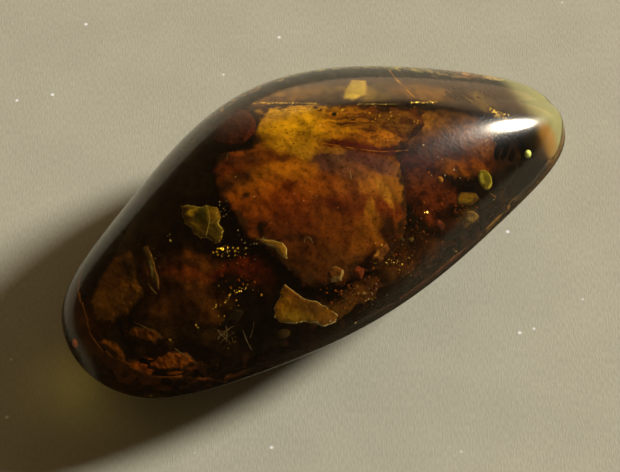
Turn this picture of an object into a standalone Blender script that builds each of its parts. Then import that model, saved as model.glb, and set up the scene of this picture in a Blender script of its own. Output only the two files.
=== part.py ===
"""A tumbled pebble of amber, about 60 mm long, with flow layers, flakes and crumbs sealed in its resin.

Run it with blender --background --python part.py, or from the text editor.
The pebble lies along X, with its pointed end at +X, on a flat polished face at Z = 0.
"""

import math

import bmesh
import bpy
import numpy as np
from mathutils import Vector

MM = 0.001  # the lengths below are in millimetres

# The pebble's skin: five stations from the round end to the pointed end.
HALF_LENGTH = 30.0
STATIONS = (-1.0, -0.5, 0.0, 0.5, 1.0)
HALF_WIDTHS = (17.5, 14.4, 15.2, 13.2, 12.2)
SIDE_SHIFTS = (-3.5, -2.2, 0.1, -0.7, -2.8)
CROWN_HEIGHTS = (11.0, 11.7, 11.5, 10.4, 8.4)
GIRDLE_HEIGHT = 6.8
KEEL_DEPTH = 8.0
SKIN_CUTS = 13

# The domed surface between two flows of resin, along which the clear amber is parted.
FLOW_EDGE_HEIGHT = 5.8
FLOW_RISE = 9.0
FLOW_LOWEST_SHARE = -0.6
PARTING_GAP = 0.3
BLOCK_HALF_LENGTH = 34.0
BLOCK_HALF_WIDTH = 22.0
BLOCK_BOTTOM = -8.0
BLOCK_CELLS = (26, 18)

# What is sealed in the amber lies along the flow surface. A span is how far a piece's underside and its
# top are from that surface. Each piece has a pocket, larger by the gap all round and open at the parting.
POCKET_GAP = 0.5
POCKET_LEAST_SPAN = (0.0, 0.6)
CLOUD_SPAN = (-0.35, 0.35)
DARK_SPAN = (-1.6, -0.9)
FLAKE_SPAN = (0.45, 0.95)
ON_CLOUD_SPAN = (0.8, 1.3)
CHIP_SPAN = (0.4, 1.3)
LUMP_SPAN = (0.75, 1.75)
RIM_FULLNESS = 0.6
AT_EQUATOR = 0.001
LAYER_RINGS = 10
FLAKE_RINGS = 4

# Outlines seen from above, anticlockwise, as X and Y.
CLOUD_OUTLINE = (
    (-1.5, 9.0), (-2.5, 6.5), (-5.0, 4.0), (-7.5, 5.5), (-9.5, 3.5), (-10.5, 0.5), (-10.3, -1.5),
    (-10.5, -4.0), (-9.5, -5.5), (-8.5, -8.0), (-7.5, -10.3), (-4.0, -11.5), (1.0, -11.5), (4.0, -10.5),
    (6.0, -8.5), (7.0, -6.0), (8.0, -3.0), (12.5, -1.5), (13.5, 0.5), (7.5, 3.5), (2.5, 6.5),
)
DARK_OUTLINE = (
    (24.0, -2.0), (23.5, 0.5), (19.0, 4.0), (12.5, 7.0), (5.0, 10.0), (-1.0, 10.5), (-7.0, 9.5),
    (-13.0, 7.0), (-18.5, 4.3), (-23.6, 1.2), (-26.4, -1.5), (-26.9, -4.2), (-26.2, -8.0), (-23.0, -10.5),
    (-17.0, -12.5), (-11.0, -13.0), (-5.5, -13.5), (1.0, -13.0), (7.5, -12.0), (14.8, -10.2), (20.0, -8.2),
    (22.0, -6.5),
)
MAROON_OUTLINE = (
    (-7.0, 7.0), (-6.5, 5.5), (-5.0, 4.5), (-3.5, 5.0), (-2.5, 6.5), (-2.0, 8.5), (-2.5, 10.0),
    (-4.0, 10.5), (-5.5, 9.5),
)
VEINED_OUTLINE = (
    (-13.7, 2.0), (-14.2, 1.1), (-14.6, 0.0), (-14.3, -0.9), (-14.5, -1.4), (-14.1, -2.4), (-13.6, -2.6),
    (-13.4, -3.5), (-13.0, -3.8), (-12.5, -3.6), (-11.8, -2.9), (-11.9, -2.0), (-11.4, -1.7), (-11.1, -0.5),
    (-11.8, 0.4), (-12.4, 0.7), (-13.2, 1.6),
)
WEDGE_OUTLINE = (
    (-9.2, -9.3), (-10.3, -10.2), (-11.2, -10.8), (-11.5, -11.4), (-11.1, -12.1), (-10.1, -12.6),
    (-8.7, -13.0), (-7.8, -13.4), (-6.9, -14.1), (-5.6, -14.2), (-5.2, -13.6), (-5.8, -12.8), (-6.6, -12.0),
    (-7.9, -11.2), (-8.6, -10.2),
)
THUMB_OUTLINE = ((7.3, 6.1), (6.1, 4.6), (7.1, 3.8), (8.8, 4.0), (9.7, 5.0), (10.4, 6.4), (8.9, 7.2))
GOLD_OUTLINE = (
    (11.5, -8.8), (11.6, -9.4), (13.2, -9.8), (14.5, -9.5), (14.4, -8.9), (13.5, -8.6), (12.5, -8.4),
)
SLIVER_OUTLINE = (
    (-18.9, 0.6), (-19.2, -0.3), (-19.6, -1.6), (-20.2, -3.2), (-20.0, -4.4), (-19.4, -3.4),
    (-18.8, -1.6), (-18.3, 0.4),
)
CURLED_OUTLINE = (
    (-9.7, -5.2), (-9.2, -6.0), (-8.5, -6.6), (-8.3, -7.6), (-7.9, -8.2), (-7.4, -7.2), (-7.5, -6.6),
    (-8.5, -5.9),
)
RUST_OUTLINES = (
    (
        (-26.3, -2.4), (-25.3, -3.8), (-23.0, -4.2), (-21.2, -3.8), (-20.7, -2.0), (-20.0, -0.2),
        (-19.7, 1.4), (-21.0, 1.9), (-23.5, 1.0), (-25.6, -0.4),
    ),
    ((-25.0, -5.5), (-24.3, -7.2), (-22.9, -8.1), (-21.6, -8.1), (-22.0, -6.8), (-23.7, -5.3)),
    (
        (-24.6, -9.2), (-23.6, -10.4), (-21.6, -11.4), (-19.9, -11.6), (-20.4, -10.2), (-22.0, -9.2),
        (-23.6, -8.8),
    ),
    ((-27.2, -4.2), (-27.0, -6.0), (-26.0, -7.8), (-25.4, -7.0), (-25.6, -5.6), (-26.3, -4.4)),
)
BARK_OUTLINES = (
    ((-17.0, -10.0), (-16.4, -10.9), (-15.2, -10.5), (-13.8, -9.9), (-14.3, -9.4), (-15.6, -9.4)),
    ((11.6, -10.8), (12.6, -11.2), (13.8, -10.8), (13.4, -10.2), (12.4, -10.2)),
)
LUMP_OUTLINES = (
    ((-4.9, -10.6), (-4.9, -11.4), (-3.7, -11.7), (-3.0, -11.0), (-3.8, -10.3)),
    ((-2.5, -11.4), (-1.7, -12.2), (-0.9, -11.6), (-1.7, -11.1)),
    ((-0.4, -11.3), (0.7, -11.6), (2.4, -11.0), (2.4, -10.4), (0.8, -10.6)),
    ((7.9, -10.7), (8.7, -11.1), (9.4, -10.7), (8.8, -10.1)),
)
SCALE_CENTRE = (15.9, -8.1)
SCALE_RADIUS = 0.9
SCALE_SIDES = 12

# Base colour, roughness and metallic value, and how much light goes through.
FINISHES = {
    "clear_amber": ((0.86, 0.46, 0.07), 0.05, 0.0, 1.0),
    "cloudy_resin": ((0.55, 0.20, 0.03), 0.55, 0.0, 0.0),
    "dark_debris": ((0.05, 0.02, 0.01), 0.70, 0.0, 0.0),
    "maroon_resin": ((0.12, 0.02, 0.01), 0.45, 0.0, 0.0),
    "olive_flake": ((0.22, 0.16, 0.03), 0.60, 0.0, 0.0),
    "mustard_flake": ((0.50, 0.32, 0.04), 0.60, 0.0, 0.0),
    "rust_resin": ((0.24, 0.09, 0.02), 0.50, 0.0, 0.0),
    "orange_resin": ((0.60, 0.20, 0.03), 0.40, 0.0, 0.0),
}


def clear_scene():
    """Removes what the startup scene holds."""
    for thing in list(bpy.data.objects):
        bpy.data.objects.remove(thing, do_unlink=True)


def new_collection(name):
    collection = bpy.data.collections.new(name)
    bpy.context.scene.collection.children.link(collection)
    return collection


def make_material(name, colour, roughness, metallic, transmission):
    material = bpy.data.materials.new(name)
    material.use_nodes = True
    shader = material.node_tree.nodes["Principled BSDF"]
    shader.inputs["Base Color"].default_value = (*colour, 1.0)
    shader.inputs["Roughness"].default_value = roughness
    shader.inputs["Metallic"].default_value = metallic
    shader.inputs["Transmission Weight"].default_value = transmission
    shader.inputs["IOR"].default_value = 1.54
    return material


def at_station(values, along):
    """The smooth curve through the five stations' values, read at a place along the pebble from -1 to 1."""
    curve = np.polyfit(STATIONS, values, len(STATIONS) - 1)
    return float(np.polyval(curve, along))


def skin_point(ball):
    """Moves a point of the unit ball to the pebble's skin."""
    crown = at_station(CROWN_HEIGHTS, ball.x)
    reach = crown if ball.z > 0.0 else KEEL_DEPTH
    return Vector((
        HALF_LENGTH * ball.x,
        at_station(SIDE_SHIFTS, ball.x) + at_station(HALF_WIDTHS, ball.x) * ball.y,
        GIRDLE_HEIGHT + reach * ball.z,
    ))


def flow_height(x, y):
    """The height of the flow surface: a dome over the pebble's plan, lowest at the girdle."""
    along = x / HALF_LENGTH
    across = (y - at_station(SIDE_SHIFTS, along)) / at_station(HALF_WIDTHS, along)
    share = 1.0 - along**2 - across**2
    return FLOW_EDGE_HEIGHT + FLOW_RISE * max(share, FLOW_LOWEST_SHARE)


def finish_object(name, shape, collection, material=None):
    """Turns a shape drawn in millimetres into an object in metres."""
    bmesh.ops.scale(shape, vec=(MM, MM, MM), verts=shape.verts)
    bmesh.ops.recalc_face_normals(shape, faces=shape.faces)
    mesh = bpy.data.meshes.new(name)
    shape.to_mesh(mesh)
    shape.free()
    mesh.shade_smooth()
    mesh.set_sharp_from_angle(angle=math.radians(40.0))
    thing = bpy.data.objects.new(name, mesh)
    collection.objects.link(thing)
    if material is None:
        thing.hide_render = True
        thing.display_type = "WIRE"
    else:
        mesh.materials.append(material)
    return thing


def pebble(name, collection, material):
    """The whole pebble: a subdivided cube rounded to a ball, moved to the skin and ground flat below."""
    shape = bmesh.new()
    bmesh.ops.create_cube(shape, size=2.0)
    bmesh.ops.subdivide_edges(shape, edges=shape.edges, cuts=SKIN_CUTS, use_grid_fill=True)
    for corner in shape.verts:
        corner.co = skin_point(corner.co.normalized())
    everything = list(shape.verts) + list(shape.edges) + list(shape.faces)
    cut = bmesh.ops.bisect_plane(
        shape, geom=everything, plane_co=(0.0, 0.0, 0.0), plane_no=(0.0, 0.0, -1.0), clear_outer=True
    )
    rim = [edge for edge in cut["geom_cut"] if isinstance(edge, bmesh.types.BMEdge)]
    bmesh.ops.edgeloop_fill(shape, edges=rim)
    return finish_object(name, shape, collection, material)


def flow_block(name, lift, collection):
    """A block whose top follows the flow surface, raised or lowered by lift."""
    shape = bmesh.new()
    bmesh.ops.create_grid(shape, x_segments=BLOCK_CELLS[0], y_segments=BLOCK_CELLS[1], size=1.0)
    sides = bmesh.ops.extrude_face_region(shape, geom=list(shape.faces))["geom"]
    lower = {corner for corner in sides if isinstance(corner, bmesh.types.BMVert)}
    for corner in shape.verts:
        x = BLOCK_HALF_LENGTH * corner.co.x
        y = BLOCK_HALF_WIDTH * corner.co.y
        z = BLOCK_BOTTOM if corner in lower else flow_height(x, y) + lift
        corner.co = (x, y, z)
    return finish_object(name, shape, collection)


def flow_piece(outline, span, rings, upright=False):
    """A ball flattened to an outline and draped on the flow surface, with a thin rim or an upright wall."""
    underside, top = span
    sides = len(outline)
    middle = np.mean(outline, axis=0)
    widest_ring = math.cos(math.pi / rings)
    shape = bmesh.new()
    bmesh.ops.create_uvsphere(shape, u_segments=sides, v_segments=rings, radius=1.0)
    for corner in shape.verts:
        reach = math.hypot(corner.co.x, corner.co.y)
        turn = math.atan2(corner.co.y, corner.co.x) / math.tau
        swell = math.copysign(abs(corner.co.z) ** RIM_FULLNESS, corner.co.z)
        if upright:
            reach = min(1.0, reach / widest_ring)
            swell = math.copysign(1.0, swell) if abs(corner.co.z) > AT_EQUATOR else 0.0
        x, y = middle + reach * (np.array(outline[round(turn * sides) % sides]) - middle)
        corner.co = (x, y, flow_height(x, y) + 0.5 * (underside + top) + 0.5 * (top - underside) * swell)
    return shape


def flow_pocket(outline, span, rings):
    """The space for a piece: larger by the gap all round, and reaching through the parting."""
    open_span = (min(span[0], POCKET_LEAST_SPAN[0]), max(span[1], POCKET_LEAST_SPAN[1]))
    shape = flow_piece(outline, open_span, rings, upright=True)
    shape.normal_update()
    moves = [(corner, POCKET_GAP * corner.calc_shell_factor() * corner.normal) for corner in shape.verts]
    for corner, move in moves:
        corner.co += move
    return shape


def ring_outline(centre, radius, sides):
    """The outline of a round piece."""
    x, y = centre
    turns = [math.tau * side / sides for side in range(sides)]
    return tuple((x + radius * math.cos(turn), y + radius * math.sin(turn)) for turn in turns)


def sealed_pieces():
    """Each sealed piece: its name, outline, span, rings and finish."""
    pieces = [
        ("cloudy_flow_layer", CLOUD_OUTLINE, CLOUD_SPAN, LAYER_RINGS, "cloudy_resin"),
        ("dark_debris_layer", DARK_OUTLINE, DARK_SPAN, LAYER_RINGS, "dark_debris"),
        ("maroon_lobe", MAROON_OUTLINE, FLAKE_SPAN, FLAKE_RINGS, "maroon_resin"),
        ("veined_flake", VEINED_OUTLINE, FLAKE_SPAN, FLAKE_RINGS, "olive_flake"),
        ("wedge_flake", WEDGE_OUTLINE, FLAKE_SPAN, FLAKE_RINGS, "mustard_flake"),
        ("thumb_flake", THUMB_OUTLINE, FLAKE_SPAN, FLAKE_RINGS, "mustard_flake"),
        ("gold_flake", GOLD_OUTLINE, FLAKE_SPAN, FLAKE_RINGS, "mustard_flake"),
        ("leaf_sliver", SLIVER_OUTLINE, FLAKE_SPAN, FLAKE_RINGS, "olive_flake"),
        ("curled_flake", CURLED_OUTLINE, ON_CLOUD_SPAN, FLAKE_RINGS, "olive_flake"),
    ]
    scale_outline = ring_outline(SCALE_CENTRE, SCALE_RADIUS, SCALE_SIDES)
    pieces.append(("round_scale", scale_outline, CHIP_SPAN, FLAKE_RINGS, "mustard_flake"))
    for number, outline in enumerate(RUST_OUTLINES, start=1):
        pieces.append((f"rust_lobe_{number}", outline, FLAKE_SPAN, FLAKE_RINGS, "rust_resin"))
    for number, outline in enumerate(BARK_OUTLINES, start=1):
        pieces.append((f"bark_chip_{number}", outline, CHIP_SPAN, FLAKE_RINGS, "olive_flake"))
    for number, outline in enumerate(LUMP_OUTLINES, start=1):
        pieces.append((f"resin_lump_{number}", outline, LUMP_SPAN, FLAKE_RINGS, "orange_resin"))
    return pieces


def part_half(half, operation, block, pockets):
    """Keeps the half above or below the flow surface, and opens the pockets in it."""
    parting = half.modifiers.new("parting", "BOOLEAN")
    parting.operation = operation
    parting.object = block
    opening = half.modifiers.new("pockets", "BOOLEAN")
    opening.operation = "DIFFERENCE"
    opening.operand_type = "COLLECTION"
    opening.collection = pockets


def build_amber():
    clear_scene()
    parts = new_collection("amber_piece")
    blocks = new_collection("parting_cutters")
    pockets = new_collection("pocket_cutters")
    materials = {name: make_material(name, *finish) for name, finish in FINISHES.items()}
    for name, outline, span, rings, finish in sealed_pieces():
        finish_object(name, flow_piece(outline, span, rings), parts, materials[finish])
        finish_object(f"pocket_for_{name}", flow_pocket(outline, span, rings), pockets)
    upper = pebble("amber_upper", parts, materials["clear_amber"])
    lower = pebble("amber_lower", parts, materials["clear_amber"])
    part_half(upper, "DIFFERENCE", flow_block("upper_cutter", 0.5 * PARTING_GAP, blocks), pockets)
    part_half(lower, "INTERSECT", flow_block("lower_cutter", -0.5 * PARTING_GAP, blocks), pockets)


build_amber()
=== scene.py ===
# %% Load the frame
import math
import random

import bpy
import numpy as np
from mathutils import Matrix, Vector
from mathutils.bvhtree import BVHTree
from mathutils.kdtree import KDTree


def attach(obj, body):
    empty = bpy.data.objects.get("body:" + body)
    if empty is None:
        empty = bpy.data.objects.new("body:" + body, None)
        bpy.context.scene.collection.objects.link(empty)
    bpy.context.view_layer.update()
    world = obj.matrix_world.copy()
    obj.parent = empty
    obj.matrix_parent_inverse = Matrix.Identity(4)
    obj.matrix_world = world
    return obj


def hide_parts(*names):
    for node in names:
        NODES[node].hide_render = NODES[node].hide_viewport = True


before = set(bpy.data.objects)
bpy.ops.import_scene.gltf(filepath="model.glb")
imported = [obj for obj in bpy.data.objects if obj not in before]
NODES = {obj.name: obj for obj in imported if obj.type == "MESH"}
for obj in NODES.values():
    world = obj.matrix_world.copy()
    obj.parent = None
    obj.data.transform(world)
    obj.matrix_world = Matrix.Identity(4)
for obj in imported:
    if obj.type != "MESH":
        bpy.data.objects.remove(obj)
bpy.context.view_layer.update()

# %% [markdown]
# # A pebble of amber
# Amber is tree resin that hardened in the ground over millions of years. This piece was tumbled and polished
# by hand to a pebble, round at one end and pointed at the other. Its skin is clear, and under it lie what the
# resin flowed over: a cloudy orange sheet, a near-black one of bark dust, plant scales, crumbs and a bubble.
#
# The CAD nodes give every piece its place. This lesson dresses them: it casts one clear skin round the whole,
# gives each sealed piece its ragged edge and relief, and adds the crumbs that are too small for CAD.

MM = 0.001  # the lengths below are in millimetres, and Blender's are in metres

# %% [markdown]
# ## The pebble's shape
# A tumbled pebble has no edges, so a few smooth curves describe it. Five stations along its length give the
# half width, the sideways shift and the height of the crown, and a curve of the fourth degree joins them. A
# section isn't a plain ellipse: the side towards -Y thins almost to the edge of a lens, and the side towards
# +Y stays round, which two power curves say. Towards the pointed end the shoulder on the -Y side is a little
# fuller, because the lamp's highlight lies on it.
#
# A second surface, a low dome inside, is where one flow of resin stopped and the next one covered it. All
# that is sealed in the amber lies along this flow surface.

# %% Stations, skin and flow surface
HALF_LENGTH = 30.0
STATIONS = (-1.0, -0.5, 0.0, 0.5, 1.0)
HALF_WIDTHS = (18.5, 14.5, 15.4, 13.4, 13.3)
SIDE_SHIFTS = (-3.2, -2.2, 0.1, -0.5, -2.2)
CROWN_HEIGHTS = (11.0, 11.7, 11.5, 10.4, 8.4)
GIRDLE_HEIGHT = 6.8
KEEL_DEPTH = 8.0
CROWN_POWER_CURVE = (0.29, -0.46, 1.2)
KEEL_POWER_CURVE = (-0.25, 1.25)
TIP_SOFTNESS = 0.03
TIP_FULLNESS = 1.15
FLOW_EDGE_HEIGHT = 5.8
FLOW_RISE = 9.0
FLOW_LOWEST_SHARE = -0.6
BASE_ROUNDING = 0.35


def at_station(values, along):
    """The smooth curve through the five stations' values."""
    return np.polyval(np.polyfit(STATIONS, values, len(STATIONS) - 1), along)


def skin_places(ball):
    """Moves points of the unit ball to the pebble's skin. The base is ground flat with a soft rim."""
    along = ball[:, 0]
    side = ball[:, 1] / np.sqrt(1.0 + TIP_SOFTNESS - along**2)
    near = np.clip(-side, 0.0, 1.0)
    fuller = TIP_FULLNESS * np.clip(along, 0.0, 1.0) ** 2 * near * (1.0 - near**3)
    crown_power = np.polyval(CROWN_POWER_CURVE, side) - fuller
    crown = at_station(CROWN_HEIGHTS, along) * abs(ball[:, 2]) ** crown_power
    keel = -KEEL_DEPTH * abs(ball[:, 2]) ** np.polyval(KEEL_POWER_CURVE, side)
    height = GIRDLE_HEIGHT + np.where(ball[:, 2] > 0.0, crown, keel)
    height = 0.5 * (height + np.sqrt(height**2 + BASE_ROUNDING**2))
    across = at_station(SIDE_SHIFTS, along) + at_station(HALF_WIDTHS, along) * ball[:, 1]
    return np.column_stack((HALF_LENGTH * along, across, height)) * MM


def flow_height(x, y):
    """The height of the flow surface over a place in plan."""
    along = x / HALF_LENGTH
    across = (y - at_station(SIDE_SHIFTS, along)) / at_station(HALF_WIDTHS, along)
    return FLOW_EDGE_HEIGHT + FLOW_RISE * max(1.0 - along**2 - across**2, FLOW_LOWEST_SHARE)


print("crown of the flow surface:", round(flow_height(0.0, 0.0), 1), "mm")

# %% [markdown]
# ## Working with one piece at a time
# Blender's operators act on all that is selected, and loading the frame leaves its nodes selected. So each
# piece starts from an empty selection. A finished piece rides on the body named root, gets its finish, and
# hides the CAD node that it dresses.

# %% Selection and finishing helpers


def select_only(piece):
    bpy.ops.object.select_all(action="DESELECT")
    piece.select_set(True)
    bpy.context.view_layer.objects.active = piece


def apply_all(piece):
    """Applies the piece's modifiers in order."""
    select_only(piece)
    for modifier in list(piece.modifiers):
        bpy.ops.object.modifier_apply(modifier=modifier.name)


def settle(piece, material, stands_for=()):
    """Gives a piece its finish and its body, and hides the nodes that it stands for."""
    piece.data.materials.clear()
    piece.data.materials.append(material)
    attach(piece, "root")
    if stands_for:
        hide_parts(*stands_for)
    return piece


# %% [markdown]
# ## The camera
# The pebble is seen from 55 degrees up, turned about 31 degrees, from close by with a long lens.

# %% Camera
PICTURE_WIDTH, PICTURE_HEIGHT = 620, 472
CAMERA_AZIMUTH = math.radians(-30.6)
CAMERA_ELEVATION = math.radians(55.0)
CAMERA_DISTANCE = 182.2
CAMERA_TARGET = Vector((-1.81, -2.54, 6.0))
CAMERA_LENS = 100.0
SENSOR_WIDTH = 36.0


def direction(azimuth, elevation):
    """A unit vector that points to an azimuth from +X and an elevation, both in radians."""
    flat = math.cos(elevation)
    return Vector((math.cos(azimuth) * flat, math.sin(azimuth) * flat, math.sin(elevation)))


to_camera = direction(CAMERA_AZIMUTH - math.radians(90.0), CAMERA_ELEVATION)
picture_right = Vector((math.cos(CAMERA_AZIMUTH), math.sin(CAMERA_AZIMUTH), 0.0))
picture_up = to_camera.cross(picture_right)
camera_place = CAMERA_TARGET + to_camera * CAMERA_DISTANCE

camera_data = bpy.data.cameras.new("camera")
camera_data.lens = CAMERA_LENS
camera_data.sensor_width = SENSOR_WIDTH
camera_data.clip_start = 0.01
camera = bpy.data.objects.new("camera", camera_data)
bpy.context.collection.objects.link(camera)
camera.location = camera_place * MM
camera.rotation_euler = to_camera.to_track_quat("Z", "Y").to_euler()
bpy.context.scene.camera = camera
bpy.context.scene.view_settings.view_transform = "Standard"
print("camera at", [round(value) for value in camera_place], "mm")

# %% [markdown]
# ## The key light
# Low sun from the right draws the long soft shadow, and an oval soft box at the same height and angle does
# that in the studio. It is also mirrored near the pointed end, as a broad bright patch.

# %% Key light
KEY_AZIMUTH = math.radians(-4.5)
KEY_ELEVATION = math.radians(25.0)
KEY_DISTANCE = 3.0
KEY_SIZE = (0.74, 0.56)
KEY_POWER = 170.0
KEY_COLOUR = (1.0, 0.97, 0.90)

key_direction = direction(KEY_AZIMUTH, KEY_ELEVATION)
key_data = bpy.data.lights.new("key", "AREA")
key_data.shape = "ELLIPSE"
key_data.size, key_data.size_y = KEY_SIZE
key_data.energy = KEY_POWER
key_data.color = KEY_COLOUR
key = bpy.data.objects.new("key", key_data)
bpy.context.collection.objects.link(key)
key.location = key_direction * KEY_DISTANCE
key.rotation_euler = key_direction.to_track_quat("Z", "Y").to_euler()
print("key at", [round(value, 2) for value in key.location], "m")

# %% [markdown]
# ## The clear skin
# The real pebble is one piece of resin. A cube is divided and rounded to a ball, which keeps its faces even
# and has no poles, and every corner is then moved to the skin.

# %% Skin
SKIN_CUTS = 79


def add_skin():
    bpy.ops.object.select_all(action="DESELECT")
    bpy.ops.mesh.primitive_cube_add(size=2.0)
    skin = bpy.context.object
    skin.name = "amber_skin"
    bpy.ops.object.mode_set(mode="EDIT")
    bpy.ops.mesh.subdivide(number_cuts=SKIN_CUTS)
    bpy.ops.transform.tosphere(value=1.0)
    bpy.ops.object.mode_set(mode="OBJECT")
    ball = np.empty(len(skin.data.vertices) * 3)
    skin.data.vertices.foreach_get("co", ball)
    ball = ball.reshape(-1, 3)
    ball /= np.linalg.norm(ball, axis=1)[:, None]
    skin.data.vertices.foreach_set("co", skin_places(ball).ravel())
    skin.data.update()
    bpy.ops.object.shade_smooth()
    return skin


skin = add_skin()
skin_tree = BVHTree.FromObject(skin, bpy.context.evaluated_depsgraph_get())
print("skin faces:", len(skin.data.polygons))


def skin_depth(place):
    """How deep a place lies under the skin in millimetres, below zero outside it."""
    nearest, outward, _, distance = skin_tree.find_nearest(place * MM)
    return math.copysign(distance / MM, -(place * MM - nearest).dot(outward))


# %% [markdown]
# ## Finding a place under the skin
# Things in amber aren't where they seem to be, because the skin bends the line of sight. To put a flake where
# the photograph shows it, this helper follows the line of sight through one point of the picture, bends it at
# the skin by Snell's law, and goes on until it meets the flow surface. The place it returns is a real one in
# the pebble, so the flake also looks right from every other side.

# %% Line of sight through the skin
AMBER_IOR = 1.54
SIGHT_STEP = 0.1
SIGHT_REACH = 40.0
BUBBLE_PIXEL, BUBBLE_LIFT = (528, 154), 1.2


def bent(ray, normal, ratio):
    """A ray after it enters a denser material."""
    inward = -ray.dot(normal)
    along_normal = ratio * inward - math.sqrt(1.0 - ratio**2 * (1.0 - inward**2))
    return (ratio * ray + along_normal * normal).normalized()


def smooth_normal(face, place):
    """The skin's normal at a place on a face, blended from the face's corners."""
    total = Vector((0.0, 0.0, 0.0))
    for number in skin.data.polygons[face].vertices:
        corner = skin.data.vertices[number]
        total += corner.normal / max((corner.co - place).length, 1e-6)
    return total.normalized()


def line_of_sight(pixel):
    """Where the view through a point of the picture meets the skin, with its direction outside and inside."""
    across = (pixel[0] - PICTURE_WIDTH / 2) / PICTURE_WIDTH * SENSOR_WIDTH / CAMERA_LENS
    down = (pixel[1] - PICTURE_HEIGHT / 2) / PICTURE_WIDTH * SENSOR_WIDTH / CAMERA_LENS
    ray = (-to_camera + picture_right * across - picture_up * down).normalized()
    place, _, face, _ = skin_tree.ray_cast(camera_place * MM, ray)
    if place is None:
        raise ValueError(f"the picture's point {pixel} lies beside the pebble")
    return place / MM, ray, bent(ray, smooth_normal(face, place), 1.0 / AMBER_IOR)


def seen_at(pixel, lift=0.0):
    """The place on the flow surface, raised by lift, that is seen through a point of the picture."""
    place, _, ray = line_of_sight(pixel)
    for _ in range(int(SIGHT_REACH / SIGHT_STEP)):
        if place.z < flow_height(place.x, place.y) + lift:
            break
        place = place + ray * SIGHT_STEP
    return place


print("the bubble lies at", [round(value, 1) for value in seen_at(BUBBLE_PIXEL, BUBBLE_LIFT)], "mm")

# %% [markdown]
# ## Painting with grain
# No colour in amber is even. These helpers wire the same few nodes again and again: a place in millimetres,
# cloudy grain, ragged edges, and one paint laid over another. They read Object coordinates, so that the
# pattern sits in the piece and not in the picture.

# %% Grain and paint helpers
MIX_UNDER, MIX_OVER, MIX_RESULT = 6, 7, 2


def new_finish(name, roughness, shine=0.0):
    material = bpy.data.materials.new(name)
    material.use_nodes = True
    tree = material.node_tree
    shader = tree.nodes["Principled BSDF"]
    shader.inputs["Roughness"].default_value = roughness
    shader.inputs["Specular IOR Level"].default_value = shine
    return material, tree, shader


def feed(tree, socket, value):
    """Sets a socket to a plain value, or links another socket to it."""
    if isinstance(value, bpy.types.NodeSocket):
        tree.links.new(value, socket)
    else:
        socket.default_value = value


def place_in_mm(tree):
    """The place on the piece in millimetres, from its Object coordinates."""
    coordinates = tree.nodes.new("ShaderNodeTexCoord")
    scale = tree.nodes.new("ShaderNodeMapping")
    scale.inputs["Scale"].default_value = (1.0 / MM, 1.0 / MM, 1.0 / MM)
    tree.links.new(coordinates.outputs["Object"], scale.inputs["Vector"])
    return scale.outputs["Vector"]


def grain(tree, place, size, detail=3.0, stretch=(1.0, 1.0, 1.0), turn=0.0):
    """Cloudy grain with features about size wide, as a noise node."""
    mapping = tree.nodes.new("ShaderNodeMapping")
    mapping.vector_type = "TEXTURE"
    mapping.inputs["Rotation"].default_value = (0.0, 0.0, turn)
    mapping.inputs["Scale"].default_value = tuple(size * value for value in stretch)
    tree.links.new(place, mapping.inputs["Vector"])
    noise = tree.nodes.new("ShaderNodeTexNoise")
    noise.inputs["Scale"].default_value = 1.0
    noise.inputs["Detail"].default_value = detail
    tree.links.new(mapping.outputs["Vector"], noise.inputs["Vector"])
    return noise


def ragged(tree, place, size, reach):
    """Shifts places by cloudy grain, so that what is drawn on them gets ragged edges."""
    noise = grain(tree, place, size)
    centre = tree.nodes.new("ShaderNodeVectorMath")
    centre.operation = "SUBTRACT"
    centre.inputs[1].default_value = (0.5, 0.5, 0.5)
    tree.links.new(noise.outputs["Color"], centre.inputs[0])
    shift = tree.nodes.new("ShaderNodeVectorMath")
    shift.operation = "MULTIPLY_ADD"
    shift.inputs[1].default_value = (reach, reach, reach)
    tree.links.new(centre.outputs["Vector"], shift.inputs[0])
    tree.links.new(place, shift.inputs[2])
    return shift.outputs["Vector"]


def ranged(tree, value, low, high, to_low=0.0, to_high=1.0):
    """Maps a value smoothly from one range to another."""
    node = tree.nodes.new("ShaderNodeMapRange")
    node.interpolation_type = "SMOOTHSTEP"
    tree.links.new(value, node.inputs["Value"])
    node.inputs["From Min"].default_value = low
    node.inputs["From Max"].default_value = high
    node.inputs["To Min"].default_value = to_low
    node.inputs["To Max"].default_value = to_high
    return node.outputs["Result"]


def product(tree, first, second):
    node = tree.nodes.new("ShaderNodeMath")
    node.operation = "MULTIPLY"
    feed(tree, node.inputs[0], first)
    feed(tree, node.inputs[1], second)
    return node.outputs["Value"]


def laid_over(tree, under, over, share, way="MIX"):
    """One colour laid over another, or multiplied with it."""
    mix = tree.nodes.new("ShaderNodeMix")
    mix.data_type = "RGBA"
    mix.blend_type = way
    feed(tree, mix.inputs["Factor"], share)
    feed(tree, mix.inputs[MIX_UNDER], under)
    feed(tree, mix.inputs[MIX_OVER], over)
    return mix.outputs[MIX_RESULT]


def mottled(tree, place, ground, size, low, high, darkest):
    """Darkens a colour by cloudy grain."""
    share = ranged(tree, grain(tree, place, size, detail=5.0).outputs["Fac"], low, high, darkest, 1.0)
    return laid_over(tree, ground, share, 1.0, "MULTIPLY")


# %% [markdown]
# ## The amber itself
# Amber bends light about as much as glass does, with an index of refraction of 1.54, and it swallows blue
# first, then green, so thin parts look yellow and thick ones orange-brown. That is the volume's absorption.
# The polish is old: fine rubbing marks scatter a little of the light in a broad, grainy haze, which is the
# coat with its own roughness and bumps. The mirrored light gets a warm tint, or else the pale floor and wall
# would lay a grey film over the colours.
#
# Cycles draws the light that clear resin gathers only with much noise. So a ray that looks for the lamp from
# inside the amber passes the skin unbent and only tinted, by the Light Path node, and what is sealed in is
# lit as cleanly as it would be in air.

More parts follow.
